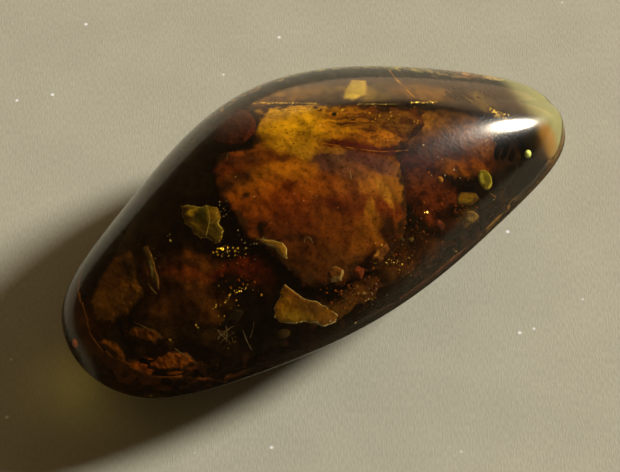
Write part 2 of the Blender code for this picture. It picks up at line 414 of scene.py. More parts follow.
# %% Finish of the skin
POLISH_ROUGHNESS = 0.12
GLOSS_TINT = (0.75, 0.60, 0.40, 1.0)
ABSORPTION_COLOUR = (0.975, 0.88, 0.08, 1.0)
ABSORPTION_DENSITY = 140.0
HAZE_SHARE = 0.16
HAZE_ROUGHNESS = 0.28
RUBBING_GRAIN = 0.35
RUBBING_DEPTH = 0.25


def amber_finish():
    material = bpy.data.materials.new("clear_amber")
    material.use_nodes = True
    tree = material.node_tree
    shader = tree.nodes["Principled BSDF"]
    shader.inputs["Base Color"].default_value = (1.0, 1.0, 1.0, 1.0)
    shader.inputs["Roughness"].default_value = POLISH_ROUGHNESS
    shader.inputs["IOR"].default_value = AMBER_IOR
    shader.inputs["Transmission Weight"].default_value = 1.0
    shader.inputs["Specular Tint"].default_value = GLOSS_TINT
    shader.inputs["Coat Weight"].default_value = HAZE_SHARE
    shader.inputs["Coat Roughness"].default_value = HAZE_ROUGHNESS
    rubbing = grain(tree, place_in_mm(tree), RUBBING_GRAIN, detail=3.0)
    bump = tree.nodes.new("ShaderNodeBump")
    bump.inputs["Strength"].default_value = RUBBING_DEPTH
    bump.inputs["Distance"].default_value = 0.1 * MM
    tree.links.new(rubbing.outputs["Fac"], bump.inputs["Height"])
    tree.links.new(bump.outputs["Normal"], shader.inputs["Coat Normal"])
    path = tree.nodes.new("ShaderNodeLightPath")
    from_inside = tree.nodes.new("ShaderNodeMath")
    from_inside.operation = "MULTIPLY"
    from_inside.use_clamp = True
    tree.links.new(path.outputs["Is Shadow Ray"], from_inside.inputs[0])
    tree.links.new(path.outputs["Transmission Depth"], from_inside.inputs[1])
    open_way = tree.nodes.new("ShaderNodeBsdfTransparent")
    either = tree.nodes.new("ShaderNodeMixShader")
    tree.links.new(from_inside.outputs["Value"], either.inputs[0])
    tree.links.new(shader.outputs["BSDF"], either.inputs[1])
    tree.links.new(open_way.outputs["BSDF"], either.inputs[2])
    tree.links.new(either.outputs["Shader"], tree.nodes["Material Output"].inputs["Surface"])
    absorption = tree.nodes.new("ShaderNodeVolumeAbsorption")
    absorption.inputs["Color"].default_value = ABSORPTION_COLOUR
    absorption.inputs["Density"].default_value = ABSORPTION_DENSITY
    tree.links.new(absorption.outputs["Volume"], tree.nodes["Material Output"].inputs["Volume"])
    return material


settle(skin, amber_finish(), ("amber_upper", "amber_lower"))

# %% [markdown]
# ## The room
# A polished skin shows the room as much as itself. Overhead the room is dim and warm, which keeps the amber
# deep and fills the shadow. A pale wall with a window stands beyond the far side, up to 27 degrees, and the
# skin mirrors it as a long grey band under the far rim.

# %% World
ROOM_COLOUR = (0.085, 0.058, 0.027, 1.0)
WALL_COLOUR = (1.6, 1.15, 0.72, 1.0)
WALL_TOP = math.sin(math.radians(27.0))
WALL_EDGE = 0.03
WINDOW_AZIMUTH = math.radians(40.0)
WINDOW_FADE = (0.68, 0.93)

world = bpy.data.worlds.new("studio")
bpy.context.scene.world = world
world.use_nodes = True
sky = world.node_tree
toward = sky.nodes.new("ShaderNodeTexCoord").outputs["Generated"]
split = sky.nodes.new("ShaderNodeSeparateXYZ")
sky.links.new(toward, split.inputs[0])
below_top = ranged(sky, split.outputs["Z"], WALL_TOP + WALL_EDGE, WALL_TOP - WALL_EDGE)
facing = sky.nodes.new("ShaderNodeVectorMath")
facing.operation = "DOT_PRODUCT"
sky.links.new(toward, facing.inputs[0])
facing.inputs[1].default_value = direction(WINDOW_AZIMUTH, 0.0)
near_window = ranged(sky, facing.outputs["Value"], *WINDOW_FADE)
sight = laid_over(sky, ROOM_COLOUR, WALL_COLOUR, product(sky, below_top, near_window))
sky.links.new(sight, sky.nodes["Background"].inputs["Color"])
print("the wall ends at", round(math.degrees(math.asin(WALL_TOP))), "degrees")

# %% [markdown]
# ## The floor
# Pale felt with a fine nap that was brushed one way, and here and there a glittering fibre, whose glint is
# a painted highlight: a white dot in the felt's colour. It lies a hair under the resting face, so that the
# two faces don't meet in one plane.

# %% Floor
FLOOR_WIDTH = 3.0
FLOOR_DROP = 0.03
NAP_GRAIN, NAP_STRETCH = 0.28, (0.6, 2.6, 1.0)
NAP_TURN = CAMERA_AZIMUTH
NAP_STRENGTH, NAP_HEIGHT = 0.15, 0.15
FELT_COLOUR = (0.50, 0.48, 0.37, 1.0)
FELT_SHADE = (0.44, 0.42, 0.325, 1.0)
GLITTER_SPACING = 4.5
GLITTER_REACH = 0.065
PAINTED_GLINT_COLOUR = (0.95, 0.95, 0.95, 1.0)

bpy.ops.object.select_all(action="DESELECT")
bpy.ops.mesh.primitive_plane_add(size=FLOOR_WIDTH, location=(0.0, 0.0, -FLOOR_DROP * MM))
floor = bpy.context.object
floor.name = "felt"
felt, felt_tree, felt_shader = new_finish("felt", 0.9, 0.2)
on_felt = place_in_mm(felt_tree)
nap = grain(felt_tree, on_felt, NAP_GRAIN, detail=4.0, stretch=NAP_STRETCH, turn=NAP_TURN)
felt_paint = laid_over(felt_tree, FELT_SHADE, FELT_COLOUR, ranged(felt_tree, nap.outputs["Fac"], 0.3, 0.7))
felt_paint = mottled(felt_tree, on_felt, felt_paint, 9.0, 0.3, 0.7, 0.94)
# Glittering fibres: white dots painted into the felt's colour, as a painted highlight.
glint_fibres = felt_tree.nodes.new("ShaderNodeTexVoronoi")
felt_tree.links.new(on_felt, glint_fibres.inputs["Vector"])
glint_fibres.inputs["Scale"].default_value = 1.0 / GLITTER_SPACING
painted_glint_share = ranged(felt_tree, glint_fibres.outputs["Distance"], GLITTER_REACH, 0.3 * GLITTER_REACH)
felt_paint = laid_over(felt_tree, felt_paint, PAINTED_GLINT_COLOUR, painted_glint_share)
felt_tree.links.new(felt_paint, felt_shader.inputs["Base Color"])
nap_bump = felt_tree.nodes.new("ShaderNodeBump")
nap_bump.inputs["Strength"].default_value = NAP_STRENGTH
nap_bump.inputs["Distance"].default_value = NAP_HEIGHT * MM
felt_tree.links.new(nap.outputs["Fac"], nap_bump.inputs["Height"])
felt_tree.links.new(nap_bump.outputs["Normal"], felt_shader.inputs["Normal"])
floor.data.materials.append(felt)
print("floor", floor.dimensions.x, "m wide")

# %% [markdown]
# ## Choosing paints
# A paint sealed in amber doesn't show as it was mixed: the lamp falls on it at a slant, and the resin tints
# it. So a paint is named by the colour that it should show in the picture, and this helper works back to the
# colour of the piece, from the slant of the key's light on the flow surface at that place.

# %% Paints
LAMP_STRENGTH = 1.75
ROOM_STRENGTH = 0.20
AMBER_TINT = (0.95, 0.80, 0.45)
SLOPE_STEP = 0.5
BRIGHTEST_PAINT = 0.9


def colour(red, green, blue):
    """A colour given from 0 to 255, as on a paint chart, in the linear values that shaders take."""
    shares = (red / 255.0, green / 255.0, blue / 255.0)
    return tuple(share / 12.92 if share < 0.04 else ((share + 0.055) / 1.055) ** 2.4 for share in shares)


def lamp_share(place):
    """How strongly the flow surface is lit at a place, by the key and by the room."""
    rise_x = flow_height(place.x + SLOPE_STEP, place.y) - flow_height(place.x - SLOPE_STEP, place.y)
    rise_y = flow_height(place.x, place.y + SLOPE_STEP) - flow_height(place.x, place.y - SLOPE_STEP)
    upward = Vector((-rise_x, -rise_y, 2.0 * SLOPE_STEP)).normalized()
    return LAMP_STRENGTH * max(upward.dot(key_direction), 0.0) + ROOM_STRENGTH


def shown_as(paint, strength):
    """The colour of a piece that shows as the paint once lamp and amber have had their way."""
    shares = zip(colour(*paint), AMBER_TINT)
    return tuple(min(BRIGHTEST_PAINT, value / (strength * tint)) for value, tint in shares) + (1.0,)


def seen_as(paint, place):
    """The same for a piece that lies on the flow surface."""
    return shown_as(paint, lamp_share(place))


print("light on the crown:", round(lamp_share(Vector((0.0, 0.0, 0.0))), 2))

# %% [markdown]
# ## Spots of colour
# The sheets are painted as a miniaturist would: soft oval spots of colour, each given by the point of the
# picture where it is seen, its two half sizes in millimetres and its turn. Grain then pulls the edges about,
# so that no oval can be made out.

# %% Spots
SPOT_SOFTNESS = 0.45


def spot_share(tree, place, centre, radii, turn):
    """How much a place belongs to an oval spot."""
    mapping = tree.nodes.new("ShaderNodeMapping")
    mapping.vector_type = "TEXTURE"
    mapping.inputs["Location"].default_value = (centre.x, centre.y, 0.0)
    mapping.inputs["Rotation"].default_value = (0.0, 0.0, CAMERA_AZIMUTH + math.radians(turn))
    mapping.inputs["Scale"].default_value = (*radii, 1000.0)
    tree.links.new(place, mapping.inputs["Vector"])
    length = tree.nodes.new("ShaderNodeVectorMath")
    length.operation = "LENGTH"
    tree.links.new(mapping.outputs["Vector"], length.inputs[0])
    return ranged(tree, length.outputs["Value"], 1.0 + SPOT_SOFTNESS, 1.0 - SPOT_SOFTNESS)


def spotted(tree, place, ground, lift, spots):
    """Lays spots over a ground colour. Each has a picture point, two radii, a turn, a paint and a share."""
    for pixel, radii, turn, paint, share in spots:
        centre = seen_at(pixel, lift)
        cover = product(tree, spot_share(tree, place, centre, radii, turn), share)
        ground = laid_over(tree, ground, seen_as(paint, centre), cover)
    return ground


# %% [markdown]
# ## Copies with relief
# The CAD nodes stay as they are. A copy of each is cast anew in small even cells, softened, and pushed in and
# out by cloudy grain, so that a flat solid becomes a torn scale or a lumpy sheet. Each copy stores how far
# every corner is from its rim, for a paint that changes towards the edge.

# %% Dense copies
SOFTENING_PASSES = 4
RIM_STEEPNESS = 0.35
TEAR_GRAIN = 1.3


def mark_rim(piece):
    """Stores how far each corner is from the piece's rim in plan, in millimetres."""
    corners = piece.data.vertices
    rim = [corner.co for corner in corners if abs(corner.normal.z) < RIM_STEEPNESS]
    tree = KDTree(max(len(rim), 1))
    for number, place in enumerate(rim):
        tree.insert((place.x, place.y, 0.0), number)
    tree.balance()
    inset = piece.data.attributes.new("inset", "FLOAT", "POINT")
    values = [tree.find((corner.co.x, corner.co.y, 0.0))[2] / MM for corner in corners]
    inset.data.foreach_set("value", values)


def dense_copy(node_name, cell, relief):
    """A closed copy of a CAD node in cells of one size, with relief given as pairs of grain and depth."""
    node = NODES[node_name]
    piece = bpy.data.objects.new(f"{node_name}_relief", node.data.copy())
    bpy.context.collection.objects.link(piece)
    select_only(piece)
    bpy.ops.object.mode_set(mode="EDIT")
    bpy.ops.mesh.select_all(action="SELECT")
    bpy.ops.mesh.remove_doubles(threshold=0.001 * MM)
    bpy.ops.object.mode_set(mode="OBJECT")
    remesh = piece.modifiers.new("cells", "REMESH")
    remesh.mode = "VOXEL"
    remesh.voxel_size = cell * MM
    soften = piece.modifiers.new("soften", "SMOOTH")
    soften.iterations = SOFTENING_PASSES
    for size, depth in relief:
        texture = bpy.data.textures.new(f"{node_name}_grain", "CLOUDS")
        texture.noise_scale = size * MM
        texture.noise_depth = 2
        displace = piece.modifiers.new("relief", "DISPLACE")
        displace.texture = texture
        displace.texture_coords = "LOCAL"
        displace.strength = depth * MM
        displace.mid_level = 0.5
    apply_all(piece)
    bpy.ops.object.shade_smooth()
    mark_rim(piece)
    return piece


def inset_share(tree, low, high):
    """Rises from 0 at the piece's rim to 1 well inside it."""
    attribute = tree.nodes.new("ShaderNodeAttribute")
    attribute.attribute_name = "inset"
    return ranged(tree, attribute.outputs["Fac"], low, high)


def torn_share(tree, place, tear, low, high):
    """Like inset_share, but grain tears the limit in and out by as much as tear."""
    attribute = tree.nodes.new("ShaderNodeAttribute")
    attribute.attribute_name = "inset"
    tearing = tree.nodes.new("ShaderNodeMath")
    tearing.operation = "MULTIPLY_ADD"
    tree.links.new(grain(tree, place, TEAR_GRAIN, detail=5.0).outputs["Fac"], tearing.inputs[0])
    tearing.inputs[1].default_value = 4.0 * tear
    tree.links.new(attribute.outputs["Fac"], tearing.inputs[2])
    return ranged(tree, tearing.outputs["Value"], 2.0 * tear + low, 2.0 * tear + high)


LIGHT_STOPS = (-22.0, -12.0, -2.0, 16.0)
MIDDLE_LINE = -2.0


def even_ground(tree, place, paint):
    """A ground paint that shows alike along the pebble, though the key lights the right end more strongly."""
    split = tree.nodes.new("ShaderNodeSeparateXYZ")
    tree.links.new(place, split.inputs[0])
    ground = seen_as(paint, Vector((LIGHT_STOPS[0], MIDDLE_LINE, 0.0)))
    for start, stop in zip(LIGHT_STOPS, LIGHT_STOPS[1:]):
        share = ranged(tree, split.outputs["X"], start, stop)
        ground = laid_over(tree, ground, seen_as(paint, Vector((stop, MIDDLE_LINE, 0.0))), share)
    return ground


# %% [markdown]
# ## The cloudy sheet
# Resin that flowed in the sun is full of tiny bubbles and looks cloudy. The sheet is gold along its far rim,
# where the lamp strikes it, orange in the middle and dark red-brown where it thins. To its right the flow was
# drawn out in streaks, and a violet smoke lies between gold and orange.

# %% Cloudy sheet
CLOUD_LIFT = 0.35
CLOUD_GROUND = (84, 36, 5)
CLOUD_SPOTS = (
    ((296, 111), (5.6, 1.2), -2.0, (176, 120, 5), 1.0),
    ((286, 126), (4.2, 1.5), -10.0, (160, 106, 6), 1.0),
    ((304, 122), (3.2, 1.3), 10.0, (178, 118, 6), 1.0),
    ((293, 141), (2.6, 1.3), 0.0, (144, 92, 8), 1.0),
    ((303, 152), (1.4, 0.9), 0.0, (132, 84, 12), 0.9),
    ((338, 124), (2.4, 1.5), 10.0, (156, 92, 8), 0.9),
    ((345, 112), (3.0, 0.9), 0.0, (120, 62, 8), 0.8),
    ((372, 122), (3.0, 1.2), 0.0, (112, 62, 8), 0.9),
    ((398, 122), (2.8, 1.4), 0.0, (96, 54, 12), 0.9),
    ((385, 139), (2.6, 0.6), 2.0, (152, 82, 10), 0.9),
    ((226, 160), (2.0, 1.9), 0.0, (76, 26, 4), 0.9),
    ((244, 160), (1.8, 0.8), 10.0, (46, 20, 5), 0.8),
    ((255, 152), (2.0, 0.6), -10.0, (88, 40, 6), 0.7),
    ((240, 180), (2.4, 1.0), 20.0, (50, 22, 5), 0.9),
    ((265, 186), (3.4, 1.2), 15.0, (108, 52, 5), 0.9),
    ((262, 205), (3.4, 1.6), 0.0, (104, 44, 5), 0.9),
    ((303, 172), (2.2, 0.9), 25.0, (128, 66, 6), 0.9),
    ((285, 185), (1.8, 0.8), 0.0, (112, 50, 5), 0.8),
    ((290, 200), (2.4, 1.2), 0.0, (92, 34, 4), 0.9),
    ((300, 222), (3.6, 1.2), -20.0, (70, 24, 4), 0.9),
    ((245, 222), (2.0, 0.9), 10.0, (88, 34, 4), 0.8),
    ((340, 182), (2.4, 1.6), 0.0, (98, 42, 6), 0.9),
    ((368, 180), (2.8, 1.6), 30.0, (124, 66, 12), 0.9),
    ((396, 182), (1.8, 2.0), 30.0, (120, 66, 10), 0.9),
    ((355, 205), (4.0, 1.0), 10.0, (80, 28, 4), 0.9),
    ((345, 222), (2.8, 1.2), -10.0, (84, 36, 4), 0.9),
    ((330, 240), (2.4, 1.4), 0.0, (72, 30, 4), 0.9),
    ((362, 236), (0.9, 2.0), -15.0, (92, 44, 6), 0.9),
    ((376, 226), (0.8, 1.8), 15.0, (104, 52, 6), 0.9),
    ((392, 210), (1.4, 1.0), 0.0, (96, 36, 6), 0.8),
    ((268, 225), (2.2, 1.0), 0.0, (60, 22, 4), 0.9),
    ((285, 240), (2.6, 1.2), 0.0, (56, 20, 4), 0.9),
    ((318, 258), (3.6, 1.2), -10.0, (58, 24, 4), 0.9),
    ((300, 236), (1.6, 0.5), 10.0, (40, 15, 3), 0.8),
    ((336, 205), (1.8, 0.6), -20.0, (60, 18, 3), 0.8),
    ((280, 168), (2.6, 0.8), 10.0, (126, 66, 6), 0.9),
    ((312, 188), (1.6, 0.8), -10.0, (120, 54, 5), 0.9),
    ((352, 190), (0.7, 1.4), 20.0, (80, 32, 6), 0.8),
    ((370, 208), (0.5, 0.9), 0.0, (128, 72, 10), 0.9),
    ((386, 192), (0.5, 1.3), 30.0, (140, 84, 16), 0.9),
    ((388, 232), (0.8, 1.5), 10.0, (34, 14, 4), 0.9),
    ((345, 262), (2.0, 1.2), 0.0, (70, 34, 8), 0.8),
    ((300, 270), (2.6, 1.0), 0.0, (46, 20, 4), 0.9),
    ((372, 268), (1.8, 0.8), 0.0, (40, 18, 6), 0.9),
    ((262, 228), (0.42, 0.6), 0.0, (20, 8, 2), 1.0),
    ((246, 194), (0.4, 0.4), 0.0, (46, 20, 4), 1.0),
    ((289, 185), (0.7, 0.6), 0.0, (76, 24, 3), 0.8),
    ((328, 162), (1.6, 1.2), -10.0, (66, 34, 24), 1.0),
    ((345, 160), (1.4, 1.0), -10.0, (88, 54, 34), 0.9),
    ((366, 160), (3.0, 0.8), -6.0, (74, 38, 30), 0.9),
    ((352, 170), (1.8, 0.9), 0.0, (96, 50, 26), 0.8),
    ((330, 150), (1.3, 0.5), 0.0, (116, 68, 18), 0.9),
    ((350, 144), (3.0, 0.42), -4.0, (62, 18, 8), 1.0),
    ((388, 150), (3.0, 0.42), 0.0, (66, 22, 14), 1.0),
    ((321, 110), (0.3, 0.24), 30.0, (24, 10, 3), 1.0),
    ((335, 113), (0.32, 0.24), 40.0, (16, 8, 3), 1.0),
    ((303, 104), (0.3, 0.12), 0.0, (90, 50, 4), 1.0),
)
STREAK_REACH = (6.6, 2.2)
STREAK_PAINT = (64, 28, 6)


def streaked(tree, place, ground, pixel, reach, lift):
    """Draws dark streaks along the picture into a part of the sheet."""
    centre = seen_at(pixel, lift)
    lines = grain(tree, place, 0.5, detail=3.0, stretch=(6.0, 0.8, 1.0), turn=CAMERA_AZIMUTH)
    share = ranged(tree, lines.outputs["Fac"], 0.46, 0.60)
    share = product(tree, share, spot_share(tree, place, centre, reach, 0.0))
    return laid_over(tree, ground, seen_as(STREAK_PAINT, centre), product(tree, share, 0.9))


def cloud_finish():
    material, tree, shader = new_finish("cloudy_resin_relief", 0.55)
    place = place_in_mm(tree)
    drawn = ragged(tree, place, 1.8, 1.5)
    drawn = ragged(tree, drawn, 0.5, 0.55)
    paint = spotted(tree, drawn, even_ground(tree, place, CLOUD_GROUND), CLOUD_LIFT, CLOUD_SPOTS)
    paint = streaked(tree, drawn, paint, (388, 124), STREAK_REACH, CLOUD_LIFT)
    paint = mottled(tree, place, paint, 1.4, 0.30, 0.60, 0.58)
    paint = mottled(tree, place, paint, 0.30, 0.30, 0.52, 0.48)
    rim_paint = even_ground(tree, place, (34, 15, 4))
    paint = laid_over(tree, rim_paint, paint, torn_share(tree, place, 1.1, 0.1, 0.9))
    tree.links.new(paint, shader.inputs["Base Color"])
    return material


cloud = dense_copy("cloudy_flow_layer", 0.2, ((2.4, 0.4), (0.7, 0.2)))
settle(cloud, cloud_finish(), ("cloudy_flow_layer",))
print("cloudy sheet faces:", len(cloud.data.polygons), "spots:", len(CLOUD_SPOTS))

# %% [markdown]
# ## The debris sheet
# Under the cloudy sheet lies a mass of bark dust and dark resin. At the round end it is almost black with
# rust-red arcs, and towards the point it turns to red-brown and green-black.

# %% Debris sheet
DARK_LIFT = -0.9
DARK_GROUND = (17, 7, 2)
DARK_SPOTS = (
    ((268, 98), (3.0, 0.9), 0.0, (92, 52, 16), 0.9),
    ((305, 92), (4.0, 1.2), 0.0, (100, 66, 24), 0.9),
    ((350, 92), (3.4, 1.2), 0.0, (108, 80, 26), 0.9),
    ((385, 88), (1.3, 0.9), 0.0, (52, 46, 32), 0.9),
    ((420, 90), (3.4, 1.2), 0.0, (108, 68, 24), 0.9),
    ((466, 99), (1.6, 0.6), 0.0, (50, 38, 24), 0.9),
    ((492, 100), (2.6, 1.2), 0.0, (120, 88, 40), 0.9),
    ((110, 290), (3.2, 2.4), 20.0, (34, 15, 3), 0.9),
    ((165, 280), (3.0, 2.0), 30.0, (36, 16, 4), 0.9),
    ((175, 270), (2.8, 0.5), -10.0, (60, 22, 5), 0.8),
    ((212, 263), (3.0, 0.6), -14.0, (76, 36, 6), 0.8),
    ((240, 268), (2.6, 0.8), 10.0, (88, 24, 4), 0.9),
    ((262, 284), (1.4, 1.0), 40.0, (62, 18, 4), 0.9),
    ((205, 282), (2.8, 0.7), -20.0, (80, 32, 6), 0.8),
    ((190, 300), (4.0, 1.4), 10.0, (54, 26, 6), 0.9),
    ((214, 312), (1.4, 0.8), 0.0, (70, 36, 6), 0.8),
    ((228, 284), (1.6, 1.0), 0.0, (14, 6, 2), 1.0),
    ((255, 315), (3.0, 2.6), 0.0, (9, 5, 2), 1.0),
    ((120, 340), (3.8, 0.9), 15.0, (11, 5, 2), 1.0),
    ((150, 368), (3.0, 1.0), 10.0, (84, 37, 4), 0.9),
    ((185, 375), (2.2, 0.8), 10.0, (78, 33, 4), 0.9),
    ((225, 360), (3.0, 1.0), 10.0, (22, 9, 3), 0.9),
    ((275, 350), (2.6, 0.8), 20.0, (24, 15, 5), 0.9),
    ((120, 240), (2.4, 1.2), 60.0, (20, 12, 5), 0.9),
    ((205, 185), (2.4, 1.2), 0.0, (26, 20, 6), 0.8),
    ((192, 150), (2.4, 0.9), 40.0, (28, 12, 6), 0.8),
    ((418, 128), (2.4, 1.6), 0.0, (148, 88, 18), 1.0),
    ((436, 122), (2.4, 1.2), 0.0, (104, 60, 12), 0.9),
    ((455, 120), (2.4, 1.0), 0.0, (96, 54, 16), 0.9),
    ((425, 140), (2.8, 1.0), 10.0, (84, 46, 14), 0.9),
    ((448, 150), (4.0, 1.8), 10.0, (66, 30, 18), 0.9),
    ((478, 138), (2.4, 1.4), 0.0, (98, 52, 22), 0.9),
    ((418, 165), (2.2, 1.2), 0.0, (66, 26, 20), 0.9),
    ((424, 182), (1.6, 1.2), 0.0, (84, 36, 14), 0.8),
    ((455, 168), (2.2, 0.9), 10.0, (104, 50, 9), 0.9),
    ((475, 166), (2.0, 0.9), 10.0, (98, 44, 8), 0.9),
    ((500, 160), (1.8, 1.2), 10.0, (70, 26, 7), 0.9),
    ((430, 205), (2.4, 1.4), -20.0, (84, 30, 6), 0.9),
    ((446, 195), (1.6, 1.0), 0.0, (78, 28, 8), 0.9),
    ((448, 218), (1.6, 1.0), 20.0, (54, 20, 5), 0.9),
    ((505, 190), (2.0, 1.4), -40.0, (20, 13, 7), 1.0),
    ((518, 172), (1.4, 2.0), -40.0, (22, 16, 8), 1.0),
    ((509, 150), (1.3, 2.4), -35.0, (36, 18, 7), 1.0),
    ((410, 240), (2.0, 1.0), 20.0, (38, 17, 5), 0.9),
    ((400, 262), (2.4, 1.2), 20.0, (60, 28, 6), 0.9),
    ((432, 250), (2.0, 1.0), 20.0, (52, 22, 6), 0.9),
    ((372, 290), (2.4, 1.0), 15.0, (72, 34, 7), 0.9),
    ((395, 285), (2.4, 1.2), 25.0, (52, 26, 7), 0.9),
    ((470, 218), (1.8, 0.8), 20.0, (78, 46, 8), 0.8),
    ((355, 305), (3.8, 1.0), 25.0, (66, 34, 6), 0.9),
    ((330, 312), (2.2, 1.0), 10.0, (70, 38, 6), 0.9),
    ((345, 330), (3.2, 0.7), 28.0, (92, 56, 8), 0.9),
    ((385, 310), (2.4, 0.6), 28.0, (70, 40, 8), 0.8),
)


def debris_finish():
    material, tree, shader = new_finish("dark_debris_relief", 0.6)
    place = place_in_mm(tree)
    drawn = ragged(tree, place, 2.0, 2.0)
    drawn = ragged(tree, drawn, 0.5, 0.6)
    paint = spotted(tree, drawn, even_ground(tree, place, DARK_GROUND), DARK_LIFT, DARK_SPOTS)
    paint = mottled(tree, place, paint, 1.1, 0.34, 0.60, 0.40)
    paint = mottled(tree, place, paint, 0.28, 0.30, 0.58, 0.50)
    tree.links.new(paint, shader.inputs["Base Color"])
    return material


debris = dense_copy("dark_debris_layer", 0.3, ((3.0, 0.7), (0.9, 0.35)))
settle(debris, debris_finish(), ("dark_debris_layer",))
print("debris sheet faces:", len(debris.data.polygons), "spots:", len(DARK_SPOTS))

# %% [markdown]
# ## Flakes, lobes and lumps
# The scales came from a plant and lie flat in the flow, thin and pale at their torn edges. The lobes are
# soft-rimmed patches of darker red-brown. Each gets a ground paint, a few spots and a paint for its rim.

# %% Flakes and lobes
FLAKE_CELL = 0.1
FLAKE_LIFT = 0.95
SCALE_RELIEF = ((0.9, 0.16), (0.25, 0.07))
LOBE_RELIEF = ((1.2, 0.30), (0.3, 0.10))
# Each node: finish slot, relief, ground paint, spots, rim paint, rim width, darkest of the mottling.
FLAKES = {
    "veined_flake": ("olive_flake", SCALE_RELIEF, (48, 31, 4), (
        ((192, 212), (0.6, 0.3), 20.0, (98, 72, 8), 1.0),
        ((203, 214), (0.75, 0.95), 0.0, (42, 34, 4), 1.0),
        ((192, 228), (1.1, 0.6), -40.0, (74, 52, 6), 0.9),
        ((214, 214), (0.6, 0.8), 0.0, (78, 52, 8), 0.9),
        ((216, 230), (0.7, 0.9), 0.0, (50, 36, 6), 0.9),
    ), (104, 82, 40), 0.10, 0.70),
    "wedge_flake": ("mustard_flake", SCALE_RELIEF, (78, 42, 2), (
        ((284, 308), (0.7, 1.0), 0.0, (98, 57, 4), 0.9),
        ((300, 318), (1.9, 0.6), 0.0, (98, 64, 6), 0.9),
        ((298, 292), (1.2, 0.8), 0.0, (76, 38, 5), 0.9),
        ((310, 304), (1.4, 0.9), 0.0, (62, 34, 5), 0.9),
        ((330, 322), (1.6, 0.9), 20.0, (78, 42, 6), 0.9),
    ), (140, 112, 56), 0.08, 0.72),
    "thumb_flake": ("mustard_flake", SCALE_RELIEF, (150, 116, 34), (
        ((345, 84), (0.5, 0.25), 0.0, (60, 40, 16), 1.0),
        ((352, 96), (0.8, 0.4), 0.0, (176, 136, 40), 0.9),
    ), (110, 78, 30), 0.25, 0.80),
    "gold_flake": ("mustard_flake", SCALE_RELIEF, (92, 58, 5), (
        ((470, 203), (1.1, 0.3), 10.0, (116, 80, 8), 0.9),
    ), (64, 38, 6), 0.35, 0.55),
    "round_scale": ("mustard_flake", SCALE_RELIEF, (88, 68, 6), (
        ((490, 184), (0.6, 0.35), -30.0, (70, 56, 6), 0.9),
        ((482, 182), (0.3, 0.5), 0.0, (132, 108, 22), 0.9),
    ), (136, 108, 24), 0.12, 0.80),
    "leaf_sliver": ("olive_flake", SCALE_RELIEF, (36, 23, 9), (
        ((150, 270), (0.3, 0.8), 0.0, (74, 58, 30), 0.9),
    ), (36, 20, 8), 0.25, 0.60),
    "curled_flake": ("olive_flake", SCALE_RELIEF, (88, 54, 10), (), (132, 104, 52), 0.10, 0.70),
    "maroon_lobe": ("maroon_resin", LOBE_RELIEF, (40, 10, 4), (
        ((222, 135), (1.8, 1.0), 0.0, (34, 12, 6), 0.9),
    ), (40, 10, 4), 0.5, 0.70),
    "rust_lobe_1": ("rust_resin", LOBE_RELIEF, (38, 18, 2), (
        ((108, 298), (2.6, 0.9), 0.0, (48, 26, 3), 0.9),
        ((128, 268), (0.5, 1.2), 20.0, (14, 7, 3), 0.9),
    ), (16, 7, 2), 0.4, 0.75),
    "rust_lobe_2": ("rust_resin", LOBE_RELIEF, (44, 19, 2), (), (18, 7, 2), 0.35, 0.75),
    "rust_lobe_3": ("rust_resin", LOBE_RELIEF, (78, 34, 3), (), (24, 10, 2), 0.35, 0.75),
    "rust_lobe_4": ("rust_resin", LOBE_RELIEF, (44, 19, 2), (), (18, 7, 2), 0.3, 0.75),
    "bark_chip_1": ("olive_flake", LOBE_RELIEF, (26, 17, 5), (), (14, 8, 4), 0.3, 0.50),
    "bark_chip_2": ("olive_flake", LOBE_RELIEF, (70, 42, 8), (), (96, 66, 14), 0.2, 0.55),
    "resin_lump_1": ("orange_resin", LOBE_RELIEF, (78, 38, 6), (), (104, 74, 30), 0.08, 0.60),
    "resin_lump_2": ("orange_resin", LOBE_RELIEF, (108, 36, 6), (
        ((356, 284), (0.4, 0.2), 0.0, (180, 60, 6), 0.9),
    ), (70, 26, 6), 0.3, 0.60),
    "resin_lump_3": ("orange_resin", LOBE_RELIEF, (104, 52, 8), (
        ((376, 260), (0.8, 0.4), 30.0, (132, 80, 12), 0.9),
    ), (70, 34, 6), 0.3, 0.60),
    "resin_lump_4": ("orange_resin", LOBE_RELIEF, (100, 36, 6), (), (60, 24, 6), 0.3, 0.60),
}


def middle_of(piece):
    corners = [corner.co for corner in piece.data.vertices]
    return sum(corners, Vector((0.0, 0.0, 0.0))) / len(corners) / MM


def flake_finish(name, middle, ground, spots, rim_paint, rim_width, darkest):
    """Plant scale or lobe: spots over a ground colour, mottled, with a rim of another colour."""
    material, tree, shader = new_finish(name, 0.5)
    place = place_in_mm(tree)
    drawn = ragged(tree, place, 0.8, 0.6)
    paint = spotted(tree, drawn, seen_as(ground, middle), FLAKE_LIFT, spots)
    paint = mottled(tree, place, paint, 0.6, 0.30, 0.60, darkest)
    paint = mottled(tree, place, paint, 0.16, 0.28, 0.55, 0.85)
    share = inset_share(tree, 0.3 * rim_width, rim_width)
    paint = laid_over(tree, seen_as(rim_paint, middle), paint, share)
    tree.links.new(paint, shader.inputs["Base Color"])
    return material


for name, (finish_slot, relief, ground, spots, rim_paint, rim_width, darkest) in FLAKES.items():
    flake = dense_copy(name, FLAKE_CELL, relief)
    finish = flake_finish(f"{name}_finish", middle_of(flake), ground, spots, rim_paint, rim_width, darkest)
    settle(flake, finish, (name,))
print("flakes and lobes:", len(FLAKES))

# %% [markdown]
# ## Crumbs, shreds and dust
# Far too many for CAD, and no two alike. One pulled-about ball is the model, and copies of it, each with its
# own place, sizes and turn, are joined to one mesh. A fixed seed draws the same crumbs every time.

# %% Scattering helpers
PAINT_GRAIN = 0.9
draw = random.Random(7)


